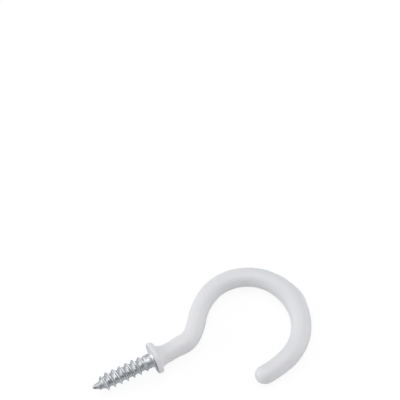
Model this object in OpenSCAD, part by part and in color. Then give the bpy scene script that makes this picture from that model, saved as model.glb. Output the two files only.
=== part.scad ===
// Vinyl-coated screw hook, lying flat as it comes to rest.
//
// A steel rod is threaded at one end, upset into a collar and bent into an open hook.
// A vinyl skin covers it from the collar's rim to the end of the hook.
//
// Before it is laid down, the screw's axis is X: the point is at -X, the origin is where
// the axis meets the collar's seat, and the hook is bent in the XY plane towards +X.
// Lengths are in millimetres, angles in degrees.

/* [Wire] */
// Diameter of the bare steel rod
wire_d = 4.6; // [4:0.1:5.6]

/* [Screw] */
// Length of the screw, from the collar's seat to the end of the point
screw_l = 21; // [16:0.1:30]
// How far the thread's crests stand over the plain shank
crest_rise = 0.4; // [0.2:0.05:0.6]
// How far the thread's roots lie under the plain shank's surface
root_depth = 0.45; // [0.2:0.05:0.6]
// Advance of the thread in one turn
thread_pitch = 2.25; // [1.8:0.05:3]
// Width of the thread's crest
crest_w = 0.2; // [0.1:0.05:0.3]
// Length of the tapered point
point_l = 4.2; // [3:0.1:6]
// Diameter of the point's blunt end
point_d = 1; // [0.6:0.1:1.4]
// Length of plain shank between the seat and the thread's end
plain_l = 1.7; // [1:0.1:4]

/* [Collar] */
// Diameter of the bare steel collar
collar_d = 8.6; // [8:0.1:12]
// Thickness of the bare steel collar
collar_t = 1.1; // [0.5:0.1:2]
// Radius on the steel collar's back edge
collar_edge_r = 0.15; // [0.05:0.05:0.3]
// Radius in the corner between the shank and the seat
seat_fillet_r = 0.4; // [0.2:0.1:0.6]
// Radius in the corner between the steel collar's back and the neck
neck_fillet_r = 0.5; // [0.2:0.1:0.8]

/* [Hook] */
// Straight length from the seat to the start of the bend
neck_l = 8.4; // [5:0.2:16]
// Radius of the bend, along the rod's centre line
bend_r = 12.6; // [8:0.2:16]
// Angle that the bend turns through before the rod curves back
bend_a = 56.5; // [40:0.5:70]
// Radius of the round hook, along the rod's centre line
hook_r = 16.2; // [12:0.2:24]
// Angle from the hook's far side round to where its tail begins
hook_end_a = 75; // [60:1:100]
// Radius of the tail, which is almost straight
tail_r = 40; // [30:1:80]
// Angle that the tail turns through
tail_a = 11; // [4:1:20]

/* [Coat] */
// Thickness of the vinyl coat
coat_t = 0.75; // [0.5:0.05:1]
// Radius on the coat's lip, beside the seat
lip_r = 0.35; // [0.2:0.05:0.5]
// Radius on the coat's edge, behind the collar
coat_edge_r = 0.55; // [0.3:0.05:0.8]
// Radius that the vinyl leaves in the corner behind the collar
coat_fillet_r = 1.4; // [0.6:0.1:2]

/* [Hidden] */
$fn = 96;

wire_r = wire_d / 2;
coated_r = wire_r + coat_t;

// The screw's core
root_r = wire_r - root_depth;
nose_r = point_d / 2;
nose_round = 0.5 * nose_r;         // bevel round the point's blunt end
thread_to = -plain_l;
runout_from = thread_to - 0.7 * thread_pitch;    // where the last groove starts to rise
runout_to = thread_to - 0.45 * thread_pitch;
// Radius of the core at places along the axis
core = [
    [-screw_l, nose_r - nose_round],
    [-screw_l + nose_round, nose_r],
    [-screw_l + point_l, root_r],
    [runout_from, root_r],
    [runout_to, wire_r],
    [0, wire_r]
];

// The thread's ridge
steps_per_turn = 24;
start_a = 26;                      // angle round the axis where the ridge starts
ridge_sink = 0.3;                  // depth of the ridge's foot inside the core
foot_w = 0.6 * thread_pitch;       // width of the ridge at its foot
knee_w = 0.3 * thread_pitch;       // width where the hollow flank meets the blade
knee_share = 0.5;                  // height of the knee, as a share of the ridge's
thread_from = -screw_l + 0.27 * point_l;
ridge_steps = floor(steps_per_turn * (thread_to - thread_from) / thread_pitch);
crest_r = wire_r + crest_rise;
// Radius of the crest at places along the axis: it starts and ends under the surface
crest = [
    [thread_from, lookup(thread_from, core) - ridge_sink / 2],
    [thread_from + 1.3 * thread_pitch, crest_r],
    [thread_to - 1.1 * thread_pitch, crest_r],
    [thread_to, wire_r - ridge_sink / 2]
];

// The collar, and where the plain rod begins behind its fillet
collar_r = collar_d / 2;
coated_collar_r = collar_r + coat_t;
coated_collar_t = collar_t + coat_t;
coat_fillet_fit = min(coat_fillet_r, coated_collar_r - coat_edge_r - coated_r);
rod_from = collar_t + neck_fillet_r;
coated_rod_from = coated_collar_t + coat_fillet_fit;

// Centres of the bend, the round hook and the tail, each of which runs on into the next
function along(a) = [cos(a), sin(a)];
bend_c = [neck_l, bend_r];
cross_a = bend_a - 90;
hook_c = bend_c + (bend_r + hook_r) * along(cross_a);
tail_c = hook_c + (hook_r - tail_r) * along(-hook_end_a);
rod_end_a = -hook_end_a - tail_a;

// Radii of the balls at the rod's end and in its joints, as shares of the rod's own
end_ball = 0.99;
joint_ball = 1.002;

// At rest the coated collar's rim and the far side of the hook touch the ground.
// The part leans about its seat, towards the hook's centre, until both are level.
lean_to = hook_c / norm(hook_c);
rim_r = coated_collar_r - coat_edge_r;
rim_x = coated_collar_t - coat_edge_r;
span = norm(hook_c) + hook_r - rim_x * lean_to.x;
lean_a = atan2(rim_r, span) - asin((coated_r - coat_edge_r) / norm([rim_r, span]));

module at_rest() {
    rotate(a = lean_a, v = [-lean_to.y, lean_to.x, 0]) children();
}

// Turns what is drawn up the Y axis, as half an outline, round the screw's axis
module turned() {
    rotate([0, 90, 0]) rotate_extrude() children();
}

// Fills an inside corner at the origin, whose sides run towards +X and +Y
module corner_fill(r) {
    difference() {
        square(r);
        translate([r, r]) circle(r);
    }
}

// Half outline of a collar from the seat up, with round edges
module collar_outline(r, t, seat_edge_r, back_edge_r) {
    square([r - seat_edge_r, t / 2]);
    translate([0, seat_edge_r]) square([r, t - seat_edge_r - back_edge_r]);
    translate([0, t / 2]) square([r - back_edge_r, t / 2]);
    translate([r - seat_edge_r, seat_edge_r]) circle(seat_edge_r);
    translate([r - back_edge_r, t - back_edge_r]) circle(back_edge_r);
}

// Moves in a coarse and a fine step, which keeps every digit of a computed place
module place(v) {
    coarse = [for (x = v) round(1000 * x) / 1000];
    translate(coarse) translate(v - coarse) children();
}

// Round bar of radius r, bent to a centre line of radius curve_r about the Z axis
module bent_bar(curve_r, r, from_a, sweep_a) {
    rotate_extrude(angle = sweep_a, start = from_a) translate([curve_r, 0]) circle(r);
}

// Ball on the rod's centre line at v, where the line runs at right angles to the angle a
module ball(v, a, r) {
    place(v) rotate([90, 0, a]) sphere(r);
}

// The bent rod from x to its rounded end. A ball closes each joint between its stretches.
module rod(r, x) {
    joints = [
        [[x, 0], -90],
        [[neck_l, 0], -90],
        [bend_c + bend_r * along(cross_a), cross_a],
        [hook_c + hook_r * along(-hook_end_a), -hook_end_a]
    ];
    translate([x, 0, 0]) rotate([0, 90, 0]) cylinder(r = r, h = neck_l - x);
    place(bend_c) bent_bar(bend_r, r, -90, bend_a);
    place(hook_c) bent_bar(hook_r, r, -hook_end_a, 180 + cross_a + hook_end_a);
    place(tail_c) bent_bar(tail_r, r, rod_end_a, tail_a);
    for (j = joints) ball(j[0], j[1], joint_ball * r);
    ball(tail_c + tail_r * along(rod_end_a), rod_end_a, end_ball * r);
}

// The screw's core and the collar, with a fillet on either side of the collar
module turned_steel() {
    turned() {
        polygon([
            [0, -screw_l],
            for (p = core) [p[1], p[0]],
            [0, 0]
        ]);
        collar_outline(collar_r, collar_t, 0, collar_edge_r);
        translate([wire_r, collar_t]) corner_fill(neck_fillet_r);
        translate([wire_r, 0]) mirror([0, 1]) corner_fill(seat_fillet_r);
        square([wire_r, rod_from]);
    }
}

// Outline of the ridge at x, as [radius, distance along the axis] from foot to foot
function ridge_outline(x) = [
    for (p = [
        [-foot_w / 2, 0],
        [-knee_w / 2, knee_share],
        [-crest_w / 2, 1],
        [crest_w / 2, 1],
        [knee_w / 2, knee_share],
        [foot_w / 2, 0]
    ])
    let(foot = lookup(x + p[0], core) - ridge_sink)
    [foot + p[1] * (lookup(x, crest) - foot), x + p[0]]
];

// The right-hand ridge that winds round the core, swept from the point to the shank
module thread_ridge() {
    corners = 6;
    cap = [[0, 1, 4], [0, 4, 5], [1, 2, 3], [1, 3, 4]];
    last = ridge_steps * corners;
    rings = [
        for (i = [0 : ridge_steps])
        let(x = thread_from + i * thread_pitch / steps_per_turn, a = start_a + i * 360 / steps_per_turn)
        [for (p = ridge_outline(x)) [p[1], p[0] * cos(a), p[0] * sin(a)]]
    ];
    polyhedron(
        points = [for (ring = rings) for (p = ring) p],
        faces = [
            for (c = cap) [c[2], c[1], c[0]],
            for (i = [0 : ridge_steps - 1], j = [0 : corners - 1])
            let(a = i * corners + j, b = i * corners + (j + 1) % corners)
            each [[a, b, a + corners], [b, b + corners, a + corners]],
            for (c = cap) [c[0] + last, c[1] + last, c[2] + last]
        ]
    );
}

module steel_hook() {
    color("silver") at_rest() {
        turned_steel();
        thread_ridge();
        rod(wire_r, rod_from);
    }
}

module vinyl_coat() {
    color("whitesmoke") at_rest() difference() {
        union() {
            turned() {
                collar_outline(coated_collar_r, coated_collar_t, lip_r, coat_edge_r);
                translate([coated_r, coated_collar_t]) corner_fill(coat_fillet_fit);
                square([coated_r, coated_rod_from]);
            }
            rod(coated_r, coated_rod_from);
        }
        turned_steel();
        rod(wire_r, rod_from);
    }
}

steel_hook();
vinyl_coat();
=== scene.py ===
"""A vinyl-coated screw hook that lies on a pale floor in soft studio light.

Both pieces are grids of rings round the rod's bent line. They follow the plain solids, and add
what those leave out: an uneven coat, a collar that sits askew, a worn thread and pitted plating.
"""

import math

import bpy
import numpy as np
from mathutils import Matrix, Vector


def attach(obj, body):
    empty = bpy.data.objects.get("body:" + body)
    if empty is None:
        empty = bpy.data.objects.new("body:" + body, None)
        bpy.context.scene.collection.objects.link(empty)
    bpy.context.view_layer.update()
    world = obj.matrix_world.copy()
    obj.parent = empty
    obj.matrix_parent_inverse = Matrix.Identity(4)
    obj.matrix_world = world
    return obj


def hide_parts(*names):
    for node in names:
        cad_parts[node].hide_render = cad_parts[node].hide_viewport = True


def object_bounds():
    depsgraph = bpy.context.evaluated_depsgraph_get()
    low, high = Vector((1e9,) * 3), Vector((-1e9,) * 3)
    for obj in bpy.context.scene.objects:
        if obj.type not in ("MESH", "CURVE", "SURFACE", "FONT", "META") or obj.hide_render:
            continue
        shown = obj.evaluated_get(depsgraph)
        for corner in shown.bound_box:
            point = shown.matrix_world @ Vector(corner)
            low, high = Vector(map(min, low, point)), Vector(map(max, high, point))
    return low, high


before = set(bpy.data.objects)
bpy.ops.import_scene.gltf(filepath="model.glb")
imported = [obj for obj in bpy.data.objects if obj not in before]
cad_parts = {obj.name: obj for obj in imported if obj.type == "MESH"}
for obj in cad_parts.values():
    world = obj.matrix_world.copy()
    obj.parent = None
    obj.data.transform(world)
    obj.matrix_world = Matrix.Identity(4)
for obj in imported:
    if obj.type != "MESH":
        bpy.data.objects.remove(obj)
cad_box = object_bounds()

scene = bpy.context.scene
scene.view_settings.view_transform = "Standard"

# ---------------------------------------------------------------- sizes, in millimetres

MM = 0.001

WIRE_R = 2.3
SCREW_L, ROOT_R, CREST_R = 21.0, 1.85, 2.7
PITCH, POINT_L, NOSE_R, PLAIN_L = 2.25, 4.2, 0.5, 1.7
COLLAR_R, COLLAR_T, COLLAR_EDGE_R = 4.3, 1.1, 0.15
SEAT_FILLET_R, NECK_FILLET_R = 0.4, 0.5
NECK_L, BEND_R, BEND_A = 8.4, 12.6, math.radians(56.5)
HOOK_R, HOOK_END_A = 16.2, math.radians(75)
TAIL_R, TAIL_A = 40.0, math.radians(11)
COAT_T, LIP_R, COAT_EDGE_R, COAT_FILLET_R = 0.75, 0.35, 0.55, 1.4

# The thread: where it starts and ends, and where its last groove runs out on the shank
START_A = math.radians(26)
THREAD_FROM, THREAD_TO = -SCREW_L + 0.27 * POINT_L, -PLAIN_L
RUNOUT_FROM, RUNOUT_TO = THREAD_TO - 0.7 * PITCH, THREAD_TO - 0.45 * PITCH
RIDGE_SINK = 0.15

COATED_R = WIRE_R + COAT_T
COATED_COLLAR_R, COATED_COLLAR_T = COLLAR_R + COAT_T, COLLAR_T + COAT_T

# Centres of the bend, the round hook and the tail
BEND_C = np.array([NECK_L, BEND_R])
HOOK_C = BEND_C + (BEND_R + HOOK_R) * np.array([math.sin(BEND_A), -math.cos(BEND_A)])
TAIL_C = HOOK_C + (HOOK_R - TAIL_R) * np.array([math.cos(HOOK_END_A), -math.sin(HOOK_END_A)])

# Distances along the rod from the seat to the bend, the round hook, the tail and the end
BEND_S = NECK_L
HOOK_S = BEND_S + BEND_R * BEND_A
TAIL_S = HOOK_S + HOOK_R * (math.pi / 2 + BEND_A + HOOK_END_A)
END_S = TAIL_S + TAIL_R * TAIL_A
END_BALL = 0.99  # radius of the rounded end, as a share of the rod's

# The part leans about its seat until the collar's rim and the far side of the hook touch the floor
REACH = float(np.linalg.norm(HOOK_C))
LEAN_TO = HOOK_C / REACH
RIM_R, RIM_X = COATED_COLLAR_R - COAT_EDGE_R, COATED_COLLAR_T - COAT_EDGE_R
SPAN = REACH + HOOK_R - RIM_X * LEAN_TO[0]
LEAN_A = math.atan2(RIM_R, SPAN) - math.asin((COATED_R - COAT_EDGE_R) / math.hypot(RIM_R, SPAN))
AT_REST = np.array(Matrix.Rotation(LEAN_A, 3, Vector((-LEAN_TO[1], LEAN_TO[0], 0))))

# The collar was upset a little askew: tilted about its seat, and not quite centred on the rod.
# Both fade out along the neck. The plain shank stands off the axis too.
COLLAR_TILT, COLLAR_TILT_TO, COLLAR_OFF = math.radians(4.6), math.radians(109), 0.16
ASKEW_TO_S, STRAIGHT_FROM_S = 2, 5
SHANK_OFF = 0.08

# ---------------------------------------------------------------- shaping


def share(x, zero_at, one_at):
    """How far x has come on the way between two values, from 0 to 1."""
    return np.clip((x - zero_at) / (one_at - zero_at), 0, 1)


def bell(x, middle, width):
    return np.exp(-(((x - middle) / width) ** 2))


def bumps(x, *each):
    """Sum of smooth bumps over x, each given as (height, middle, width)."""
    return sum(height * bell(x, middle, width) for height, middle, width in each)


def drift(u, v, seed):
    """Smooth wandering between about -1 and 1 over two coordinates, the same in every run.

    It is a sum of waves with random ways, lengths and phases.
    """
    rng = np.random.default_rng(seed)
    waves = 5
    total = 0.0
    for _ in range(waves):
        way, length, phase = rng.normal(0, 1, 2), rng.uniform(0.6, 1.6), rng.uniform(0, 2 * math.pi)
        way = way / np.linalg.norm(way) * length
        total = total + np.sin(way[0] * u + way[1] * v + phase)
    return total / math.sqrt(waves) * 0.8


def arc(centre_s, centre_r, radius, from_a, to_a, steps):
    """Places on a round edge of an outline, as [distance along, radius].

    The angles are in degrees, from the way along the rod towards the way outwards.
    """
    a = np.radians(np.linspace(from_a, to_a, steps))
    return [[centre_s + radius * math.cos(x), centre_r + radius * math.sin(x)] for x in a]


def rod_line(s):
    """Places on the rod's line at distances s from the seat, and the ways along and left there.

    Before the seat and past its end the line runs on straight.
    """
    s = np.asarray(s, float)
    turn = np.select(
        [s < BEND_S, s < HOOK_S, s < TAIL_S],
        [0 * s, (s - BEND_S) / BEND_R, BEND_A - (s - HOOK_S) / HOOK_R],
        BEND_A - (TAIL_S - HOOK_S) / HOOK_R - (np.minimum(s, END_S) - TAIL_S) / TAIL_R,
    )[..., None]
    along = np.concatenate([np.cos(turn), np.sin(turn)], -1)
    left = np.concatenate([-np.sin(turn), np.cos(turn)], -1)
    far = s[..., None]
    place = np.select(
        [far < BEND_S, far < HOOK_S, far < TAIL_S],
        [np.concatenate([far, 0 * far], -1), BEND_C - BEND_R * left, HOOK_C + HOOK_R * left],
        TAIL_C + TAIL_R * left,
    )
    return place + np.maximum(far - END_S, 0) * along, along, left


def skin(s, r, around):
    """Points at distances s along the rod and r from its line, at angles around it from the left.

    All three are grids with a ring in each row.
    """
    place, along, left = rod_line(s)
    askew = share(s, -SEAT_FILLET_R, 0) * share(s, STRAIGHT_FROM_S, ASKEW_TO_S)
    askew = askew * askew * (3 - 2 * askew)
    ahead_by = -askew * math.sin(COLLAR_TILT) * r * np.cos(around - COLLAR_TILT_TO)
    aside = r * np.cos(around) + COLLAR_OFF * askew + SHANK_OFF * bell(s, -1.5, 1.2)
    flat = place + aside[..., None] * left + ahead_by[..., None] * along
    points = np.concatenate([flat, (r * np.sin(around))[..., None]], -1)
    return points @ AT_REST.T * MM


def ring_grid(outline, sides):
    """Distances, radii and angles of a grid, with a ring for each [distance, radius] given."""
    outline = np.array(outline, float)
    around = np.linspace(0, 2 * math.pi, sides, endpoint=False) + 0 * outline[:, :1]
    return outline[:, :1] + 0 * around, outline[:, 1:] + 0 * around, around


def closed_mesh(name, points, tones):
    """A closed mesh from a grid of rings, with the tones as its vertices' attribute.

    A ring that has shrunk to a point becomes one vertex, and a last ring that lies on the first
    is joined to it.
    """
    index = np.arange(points[..., 0].size).reshape(points.shape[:2])
    for row, ring in enumerate(points):
        if np.allclose(ring, ring[0], atol=1e-9):
            index[row] = index[row, 0]
    if np.allclose(points[0], points[-1], atol=1e-9):
        index[-1] = index[0]
    used = np.unique(index)
    index = np.searchsorted(used, index)
    on = np.roll(index, -1, axis=1)
    quads = np.stack([index[:-1], on[:-1], on[1:], index[1:]], -1).reshape(-1, 4)
    faces = [list(dict.fromkeys(quad)) for quad in quads.tolist()]
    mesh = bpy.data.meshes.new(name)
    mesh.from_pydata(points.reshape(-1, 3)[used].tolist(), [], [f for f in faces if len(f) > 2])
    mesh.shade_smooth()
    values = tones.ravel()[used].astype(np.float32)
    mesh.attributes.new("tone", "FLOAT", "POINT").data.foreach_set("value", values)
    mesh.update()
    made = bpy.data.objects.new(name, mesh)
    scene.collection.objects.link(made)
    return made


# ---------------------------------------------------------------- the steel

STEEL_SIDES = 112
RING_STEP = 0.045  # between rings on the screw
# Middles of the point, the thread and the plain shank
POINT_X, THREAD_X, SHANK_X = -18.7, -11, -1.6


def core_radius(x):
    return np.interp(
        x,
        [-SCREW_L, -SCREW_L + 0.5 * NOSE_R, -SCREW_L + POINT_L, RUNOUT_FROM, RUNOUT_TO, 0],
        [0.5 * NOSE_R, NOSE_R, ROOT_R, ROOT_R, WIRE_R, WIRE_R],
    )


def crest_radius(x):
    return np.interp(
        x,
        [THREAD_FROM, THREAD_FROM + 1.3 * PITCH, THREAD_TO - 1.1 * PITCH, THREAD_TO],
        [float(core_radius(THREAD_FROM)) - RIDGE_SINK, CREST_R, CREST_R, WIRE_R - RIDGE_SINK],
    )


def screw_surface(x, around):
    """Radius of the screw, and how deep in the thread that is, from 0 at a crest to 1 at a root."""
    side, over = np.cos(around), np.sin(around)

    # The last groove runs out aslant, and the thread wanders on its left side
    core = core_radius(x - 0.25 * side * bell(x, THREAD_TO - 0.55 * PITCH, 0.8))
    drunk = (1 + side) * bumps(x, (0.11, -8.5, 5), (0.10, -17.9, 2))
    turns = (x - drunk - THREAD_FROM) / PITCH - (around - START_A) / (2 * math.pi)
    off = (turns - np.round(turns)) * PITCH
    crest_x = x - off

    # Crests of uneven height, on a blade that is slimmer at the point
    wound = crest_x / PITCH * 2 * math.pi
    height = np.clip(crest_radius(crest_x) - core_radius(crest_x), 0, None)
    height = height * ((crest_x >= THREAD_FROM) & (crest_x <= THREAD_TO))
    wear = 0.035 * drift(wound, 0 * wound, 3) + 0.02 * drift(5 * wound, 0 * wound, 4)
    half_width = 0.30 - 0.09 * bell(x, -18.3, 0.8)
    blade = 1 / (1 + (np.abs(off) / half_width) ** 3)
    r = core + height * (1 + wear) * blade
    depth = share(r, CREST_R, ROOT_R)

    # Dents and pits. The point and the thread are fuller on the right, and the shank is slimmer.
    dents = (0.030 - 0.010 * bell(x, SHANK_X, 1.6)) * drift(3 * x, 4 * over + 3 * side, 5)
    pits = (0.016 + 0.014 * bell(x, -1.2, 1.4)) * drift(7 * x, 10 * over - 8 * side, 6)
    lopsided = 0.045 * (1 - side) * bell(x, THREAD_X, 7)
    lopsided = lopsided - (0.02 + 0.22 * side) * bell(x, POINT_X, 0.8)
    worn = dents + pits + lopsided - 0.07 * bell(x, SHANK_X, 1.2)
    fade = share(x, -SCREW_L, 0.6 - SCREW_L) * share(x, 0, -0.6)
    return r + worn * fade, depth * share(x, -1.2, -3.2)


def steel_outline():
    """The steel from its point to its other end. A radius of None is left to screw_surface."""
    tip = -SCREW_L
    back = COLLAR_T - COLLAR_EDGE_R
    rows = [[tip, 0], [tip, 0.12], [tip + 0.015, 0.2]]
    rows += [[x, None] for x in np.arange(tip + RING_STEP, -SEAT_FILLET_R, RING_STEP)]
    rows += arc(-SEAT_FILLET_R, WIRE_R + SEAT_FILLET_R, SEAT_FILLET_R, -90, 0, 7)
    rows += [[0, r] for r in np.linspace(WIRE_R + SEAT_FILLET_R + 0.2, COLLAR_R - 0.06, 8)]
    rows += [[0, COLLAR_R - 0.02], [0, COLLAR_R - 0.01], [0.02, COLLAR_R], [back, COLLAR_R]]
    rows += arc(back, COLLAR_R - COLLAR_EDGE_R, COLLAR_EDGE_R, 70, 0, 4)
    rows += [[COLLAR_T, WIRE_R + NECK_FILLET_R + 0.1]]
    rows += arc(COLLAR_T + NECK_FILLET_R, WIRE_R + NECK_FILLET_R, NECK_FILLET_R, 180, 270, 6)
    rows += [[s, WIRE_R] for s in np.linspace(COLLAR_T + NECK_FILLET_R + 0.4, END_S, 150)]
    rows += arc(END_S, 0, WIRE_R * END_BALL, 85, 5, 12)
    return rows + [[END_S + WIRE_R * END_BALL, 0]]


def make_steel():
    """The screw, its collar and the rod in the coat.

    Its tone is the depth in the thread, which the zinc darkens as painted shade. On the seat it
    holds
    painted light and shade: below 0 on the left, down to -1, where it is painted bright, and as
    high as in a root on the right, where it is painted dark.
    """
    s, given, around = ring_grid(steel_outline(), STEEL_SIDES)
    of_screw = np.isnan(given)
    screw_r, depth = screw_surface(s, around)
    # Painted light and shade on the seat, set by the angle round the rod: bright on the left, dark
    # as a root on the right
    bright = 0.9 * np.cos(around + math.radians(10)) + 0.6
    seat = np.clip(np.where(bright > 0, -bright, -4 * bright), -1, 1)
    tones = np.where(of_screw, depth, np.where(s < 0.01, seat, 0))
    points = skin(s, np.where(of_screw, screw_r, given), around)
    return closed_mesh("zinc_plated_screw", points, tones)


# ---------------------------------------------------------------- the vinyl coat

COAT_SIDES = 128
BORE_GAP = 0.01  # between the coat's inside and the steel

# How the dipped coat strays from an even one: fuller all round, and moved to the left. Each bump
# is (height, distance along the rod, width). The rows are the neck, the bend and the round hook.
FULLER = (
    (-0.08, 4, 0.9), (-0.17, 6, 2.4), (0.12, 10.8, 2),
    (0.09, 18.5, 3.8), (-0.18, 21.5, 8),
    (0.28, 59.5, 9), (0.15, 77, 10),
)
LEFTWARD = (
    (-0.08, 4, 0.9), (-0.08, 4.5, 2), (0.13, 9, 1.8), (0.15, 9.5, 2),
    (0.12, 13.3, 1.2), (-0.26, 13.3, 2), (0.09, 18.5, 3.8), (0.30, 19.1, 4), (0.10, 34, 5),
    (-0.42, 57.6, 15), (-0.10, 80, 6),
)
SLIMMER = 0.05  # by how much the coat is thinner all over


def coat_radius(s, r, around):
    """The coat's outer radius. It ran to the inside of the round hook, and left a drip outside."""
    side = np.cos(around)
    to_left, to_right = np.clip(side, 0, 1), np.clip(-side, 0, 1)
    on_rod = share(s, 3, 6) * share(s, END_S + COATED_R, END_S + COATED_R - 2)
    drip = 0.42 * bell(s, 60.8, 2.3) * to_left**1.5
    waves = 0.03 * drift(0.55 * s, 1.4 * side, 11)
    waves = waves + 0.018 * drift(1.3 * s, 2.6 * np.sin(around) + side, 12)
    uneven = bumps(s, *FULLER) - SLIMMER + bumps(s, *LEFTWARD) * side + drip + waves
    collar = bumps(s, (0.27, 0.72, 0.4), (-0.46, 1.75, 0.48)) * to_left
    collar = collar + 0.30 * bell(s, 2.9, 0.8) * to_right
    # The underside lies on the floor and stays nearly even
    above = 1 - 0.9 * np.clip(-np.sin(around), 0, 1) ** 2
    return r + above * (on_rod * uneven + collar)


def coat_outside():
    """The coat from its lip at the steel collar, over the collar and along the rod to its end."""
    back = COATED_COLLAR_T + COAT_FILLET_R
    edge = COATED_COLLAR_R - COAT_EDGE_R
    rows = [[0, COLLAR_R + BORE_GAP], [0, COLLAR_R + 0.03], [0, COLLAR_R + 0.2]]
    rows += arc(LIP_R, COATED_COLLAR_R - LIP_R, LIP_R, 180, 90, 8)
    rows += [[s, COATED_COLLAR_R] for s in np.linspace(0.5, 1.15, 5)]
    rows += arc(COATED_COLLAR_T - COAT_EDGE_R, edge, COAT_EDGE_R, 90, 0, 10)
    rows += arc(back, COATED_R + COAT_FILLET_R, COAT_FILLET_R, 180, 270, 14)
    rows += [[s, COATED_R] for s in np.arange(back + 0.3, END_S, 0.3)]
    rows += arc(END_S, 0, COATED_R * END_BALL, 88, 4, 20)
    return rows + [[END_S + COATED_R * END_BALL, 0]]


def coat_inside():
    """The coat's bore from the rod's end back to the lip, clear of the steel all the way."""
    bore = WIRE_R + BORE_GAP
    back = COLLAR_T + BORE_GAP
    edge = COLLAR_R - COLLAR_EDGE_R
    rows = [[END_S + bore, 0]] + arc(END_S, 0, bore, 6, 84, 8)
    rows += [[s, bore] for s in np.linspace(END_S, COLLAR_T + NECK_FILLET_R + 0.4, 90)]
    rows += arc(back + NECK_FILLET_R, bore + NECK_FILLET_R, NECK_FILLET_R, 270, 180, 5)
    rows += [[back, edge]]
    rows += arc(back - COLLAR_EDGE_R, edge + BORE_GAP, COLLAR_EDGE_R, 20, 90, 4)
    return rows + [[0.03, COLLAR_R + BORE_GAP], [0, COLLAR_R + BORE_GAP]]


def make_coat():
    """The vinyl coat. Its tone is 1 on the lip's face, where the vinyl is painted in shade, and 0
    elsewhere.
    """
    outside = coat_outside()
    s, r, around = ring_grid(outside + coat_inside(), COAT_SIDES)
    is_outer = np.arange(len(s))[:, None] < len(outside)
    painted_lip_shade = np.where(is_outer, share(s, 0.25, 0), 0)
    shaped = np.where(r > 0, coat_radius(s, r, around), 0)
    # The coat is thicker behind the collar, most on the left, and on the rod's end
    side = np.cos(around)
    behind = np.where(side > 0, 0.36, 0.10) * side * share(s, 0.6, 1.8) * share(s, 4.4, 2.8)
    at_end = (0.50 - 0.22 * side * r / COATED_R) * share(s, END_S - 4, END_S)
    s = np.where(is_outer, s + behind + at_end, s)
    r = np.where(is_outer, shaped, r)
    s[0], r[0] = s[-1], r[-1]
    return closed_mesh("dipped_vinyl_coat", skin(s, r, around), painted_lip_shade)


# ---------------------------------------------------------------- materials


def node(tree, kind, inputs, **settings):
    """A shader node. Each input is a value, or the socket that it is linked to."""
    made = tree.nodes.new("ShaderNode" + kind)
    for key, value in settings.items():
        setattr(made, key, value)
    for key, value in inputs.items():
        if isinstance(value, bpy.types.NodeSocket):
            tree.links.new(value, made.inputs[key])
        else:
            made.inputs[key].default_value = value
    return made


def new_material(name):
    """A bare material, with its node tree."""
    made = bpy.data.materials.new(name)
    made.use_nodes = True
    made.node_tree.nodes.clear()
    return made, made.node_tree


def grey(value):
    return (value, value, value, 1)


def noise(tree, where, scale, detail, roughness=0.5):
    inputs = {"Vector": where, "Scale": scale, "Detail": detail, "Roughness": roughness}
    return node(tree, "TexNoise", inputs).outputs["Fac"]


def remap(tree, value, from_low, from_high, to_low, to_high):
    inputs = {"Value": value, "From Min": from_low, "From Max": from_high}
    inputs.update({"To Min": to_low, "To Max": to_high})
    return node(tree, "MapRange", inputs, clamp=True).outputs["Result"]


def blend(tree, factor, low, high):
    """A colour between low and high. Of a Mix node's sockets, 6, 7 and output 2 are for colours."""
    return node(tree, "Mix", {"Factor": factor, 6: low, 7: high}, data_type="RGBA").outputs[2]


def tone_of(tree):
    return node(tree, "Attribute", {}, attribute_name="tone").outputs["Fac"]


def any_of(tree, *kinds):
    """1 for a ray of one of these kinds, else 0."""
    seen = node(tree, "LightPath", {}).outputs
    found = seen[kinds[0]]
    for kind in kinds[1:]:
        found = node(tree, "Math", {0: found, 1: seen[kind]}, operation="MAXIMUM").outputs[0]
    return found


def vinyl_material():
    """Satin white vinyl, a little cooler and warmer in broad patches, with painted shade on its
    lip's face.
    """
    made, tree = new_material("white_vinyl")
    # lip is the colour of the lip's face, darker and lilac as painted shade
    cool, warm, lip = (0.717, 0.727, 0.734, 1), (0.752, 0.738, 0.750, 1), (0.57, 0.555, 0.595, 1)
    where = node(tree, "TexCoord", {}).outputs["Object"]
    broad, fine = noise(tree, where, 160, 2), noise(tree, where, 900, 3)
    colour = blend(tree, remap(tree, broad, 0.35, 0.65, 0, 1), cool, warm)
    bump = node(tree, "Bump", {"Strength": 0.12, "Distance": 0.08 * MM, "Height": fine})
    shader = node(
        tree,
        "BsdfPrincipled",
        {
            # Painted shade on the lip's face, by its tone
            "Base Color": blend(tree, tone_of(tree), colour, lip),
            "Roughness": remap(tree, fine, 0.3, 0.7, 0.36, 0.46),
            "Normal": bump.outputs["Normal"],
            "IOR": 1.5,
            "Subsurface Weight": 0.2,
            "Subsurface Radius": (0.60 * MM, 0.55 * MM, 0.50 * MM),
            "Subsurface Scale": 1,
        },
    )
    node(tree, "OutputMaterial", {"Surface": shader.outputs["BSDF"]})
    return made


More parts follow.
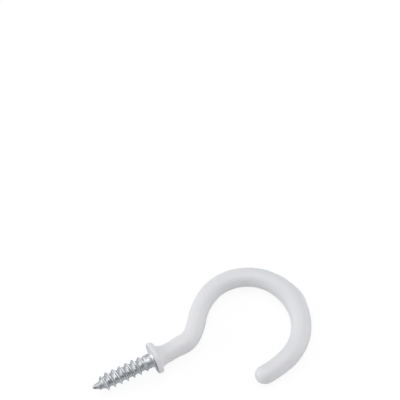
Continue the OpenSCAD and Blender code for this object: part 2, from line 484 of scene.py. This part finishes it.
def zinc_material():
    """Zinc plating, mottled and stained, with painted shade deep in the thread.

    The seat is smooth, with a painted highlight on its left and painted shade on its right, and a
    film of vinyl, its lilac grey darkened as painted shade, covers the part of it that is painted
    brightest.
    """
    made, tree = new_material("zinc_plated_steel")
    dull, clear, stained = (0.58, 0.60, 0.625, 1), (0.74, 0.765, 0.775, 1), (0.20, 0.21, 0.23, 1)
    # root is painted shade for the thread's roots, seat is the seat's painted highlight, and film
    # is the vinyl film's lilac grey darkened as painted shade
    root, seat, film = (0.39, 0.405, 0.42, 1), (0.95, 0.94, 0.96, 1), (0.58, 0.56, 0.61, 1)
    edge = (0.55, 0.55, 0.58, 1)
    where = node(tree, "TexCoord", {}).outputs["Object"]
    tone = tone_of(tree)
    painted_seat_light = remap(tree, tone, 0, -0.4, 0, 1)
    off_seat = remap(tree, tone, 0, -0.4, 1, 0)
    broad, fine = noise(tree, where, 420, 3), noise(tree, where, 2600, 4, 0.6)

    colour = blend(tree, remap(tree, broad, 0.35, 0.65, 0, 1), dull, clear)
    stain = remap(tree, noise(tree, where, 1500, 2), 0.50, 0.66, 0, 0.6)
    colour = blend(tree, stain, colour, stained)
    # Painted shade: darker towards the thread's roots, and on the seat's right side
    colour = blend(tree, remap(tree, tone, 0.3, 1, 0, 0.75), colour, root)
    # Painted highlight: the seat's near white colour where its tone paints it light
    colour = blend(tree, painted_seat_light, colour, seat)
    # The vinyl film on the seat's left, in a lilac grey darkened as painted shade
    colour = blend(tree, remap(tree, tone, -0.6, -1, 0, 1), colour, film)

    # The dents are deeper on the plain shank than on the thread
    along = node(tree, "SeparateXYZ", {"Vector": where}).outputs["X"]
    deep = remap(tree, along, -3.0 * MM, -1.8 * MM, 0.24 * MM, 0.52 * MM)
    lumps = noise(tree, where, 1200, 1.5)
    dents = node(tree, "Bump", {"Strength": off_seat, "Distance": deep, "Height": lumps})
    under = {"Height": fine, "Normal": dents.outputs["Normal"]}
    grain = node(tree, "Bump", {"Strength": off_seat, "Distance": 0.04 * MM, **under})
    shader = node(
        tree,
        "BsdfPrincipled",
        {
            "Base Color": colour,
            # Painted highlight: a white edge tint where the seat is painted light
            "Specular Tint": blend(tree, painted_seat_light, edge, grey(1)),
            "Roughness": remap(tree, fine, 0.3, 0.7, 0.33, 0.48),
            # Less metallic where the seat is painted light, so that its painted colour shows
            "Metallic": remap(tree, tone, 0, -1, 1, 0),
            "Normal": grain.outputs["Normal"],
        },
    )
    node(tree, "OutputMaterial", {"Surface": shader.outputs["BSDF"]})
    return made


# ---------------------------------------------------------------- the pieces

steel = make_steel()
steel.data.materials.append(zinc_material())
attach(steel, "root")
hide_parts("steel_hook")

coat = make_coat()
coat.data.materials.append(vinyl_material())
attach(coat, "root")
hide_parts("vinyl_coat")

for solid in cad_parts.values():
    piece = steel if solid.name == "steel_hook" else coat
    solid.data.materials.clear()
    solid.data.materials.append(piece.data.materials[0])

# ---------------------------------------------------------------- the studio

AIM = Vector((15.53, -1.9, -0.98)) * MM
CAMERA_AWAY, LAMP_AWAY, LAMP_SIZE = 1.5, 1.1, 0.9
AZIMUTH, ELEVATION = math.radians(27.87), math.radians(68.51)
RAISED = math.radians(1.7069)  # the camera looks past the aim, which puts the hook low in the frame

up = Vector((0, 0, 1))
north = Vector((0, 1, 0))
ahead = Vector((math.sin(AZIMUTH), math.cos(AZIMUTH), 0))
right = Vector((math.cos(AZIMUTH), -math.sin(AZIMUTH), 0))
looking = math.cos(ELEVATION) * ahead - math.sin(ELEVATION) * up


def put(name, data, place, facing, axis):
    """An object at a place, turned until its axis faces a way."""
    made = bpy.data.objects.new(name, data)
    made.location = place
    made.rotation_mode = "QUATERNION"
    made.rotation_quaternion = Vector(facing).to_track_quat(axis, "Y")
    scene.collection.objects.link(made)
    return made


def plane(name, centre, normal, width, height, material):
    mesh = bpy.data.meshes.new(name)
    x, y = width / 2, height / 2
    mesh.from_pydata([(-x, -y, 0), (x, -y, 0), (x, y, 0), (-x, y, 0)], [], [(0, 1, 2, 3)])
    mesh.materials.append(material)
    made = put(name, mesh, centre, normal, "Z")
    return made


def soft_lamp(name, towards, power):
    lamp = bpy.data.lights.new(name, "AREA")
    lamp.shape = "DISK"
    lamp.size = LAMP_SIZE
    lamp.energy = power
    towards = towards.normalized()
    put(name, lamp, AIM + LAMP_AWAY * towards, -towards, "-Z")


def dark_card(name, towards, away, width, height, glow):
    """A dark card for the bright metal to reflect. It lights nothing and throws no shadow."""
    made, tree = new_material(name)
    colours = {"Base Color": grey(0), "Emission Color": (0.96, 0.98, 1, 1)}
    levels = {"Specular IOR Level": 0, "Emission Strength": glow}
    shader = node(tree, "BsdfPrincipled", {**colours, **levels})
    node(tree, "OutputMaterial", {"Surface": shader.outputs["BSDF"]})
    towards = towards.normalized()
    card = plane(name, AIM + away * towards, -towards, width, height, made)
    card.visible_camera = card.visible_diffuse = False
    card.visible_transmission = card.visible_shadow = False


def floor_material():
    """A pale floor, which the camera sees as nearly white, and mirrors and glass as bright."""
    made, tree = new_material("pale_floor")
    mirrored = any_of(tree, "Is Glossy Ray", "Is Transmission Ray")
    surface = node(tree, "BsdfDiffuse", {"Color": grey(0.8)}).outputs[0]
    for seen, shade, glow in ((mirrored, 0.8, 0.2), (any_of(tree, "Is Camera Ray"), 0.15, 0.87)):
        matt = node(tree, "BsdfDiffuse", {"Color": grey(shade)})
        lit = node(tree, "Emission", {"Color": grey(1), "Strength": glow})
        bright = node(tree, "AddShader", {0: matt.outputs[0], 1: lit.outputs[0]})
        mixed = node(tree, "MixShader", {0: seen, 1: surface, 2: bright.outputs[0]})
        surface = mixed.outputs[0]
    node(tree, "OutputMaterial", {"Surface": surface})
    return made


def make_world():
    """A soft grey room, which shows as white to the camera and in mirrors and glass."""
    world = bpy.data.worlds.new("studio")
    scene.world = world
    world.use_nodes = True
    tree = world.node_tree
    tree.nodes.clear()
    shows = any_of(tree, "Is Camera Ray", "Is Glossy Ray", "Is Transmission Ray")
    room = node(tree, "Background", {"Color": (0.95, 0.97, 1, 1), "Strength": 0.56})
    white = node(tree, "Background", {"Color": grey(1), "Strength": 1})
    both = node(tree, "MixShader", {0: shows, 1: room.outputs[0], 2: white.outputs[0]})
    node(tree, "OutputWorld", {"Surface": both.outputs[0]})


camera_data = bpy.data.cameras.new("camera")
camera_data.sensor_width = 36
camera_data.lens = 434.7
camera_data.clip_start, camera_data.clip_end = 0.05, 20
raised = Matrix.Rotation(RAISED, 3, right) @ looking
scene.camera = put("camera", camera_data, AIM - CAMERA_AWAY * looking, raised, "-Z")

plane("floor", (0, 0, cad_box[0].z), up, 4, 4, floor_material())

soft_lamp("left", 0.1 * ahead - right + 0.37 * up, 4.7)
soft_lamp("right", 0.1 * ahead + right + 0.37 * up, 1.9)
soft_lamp("above", 0.1 * ahead + up, 3.4)

dark_card("grey_card", -0.85 * north + 0.53 * up, 0.62, 1.0, 0.70, 0.34)
dark_card("dark_card", -0.87 * north + 0.50 * up, 0.58, 0.9, 0.36, 0.04)

make_world()
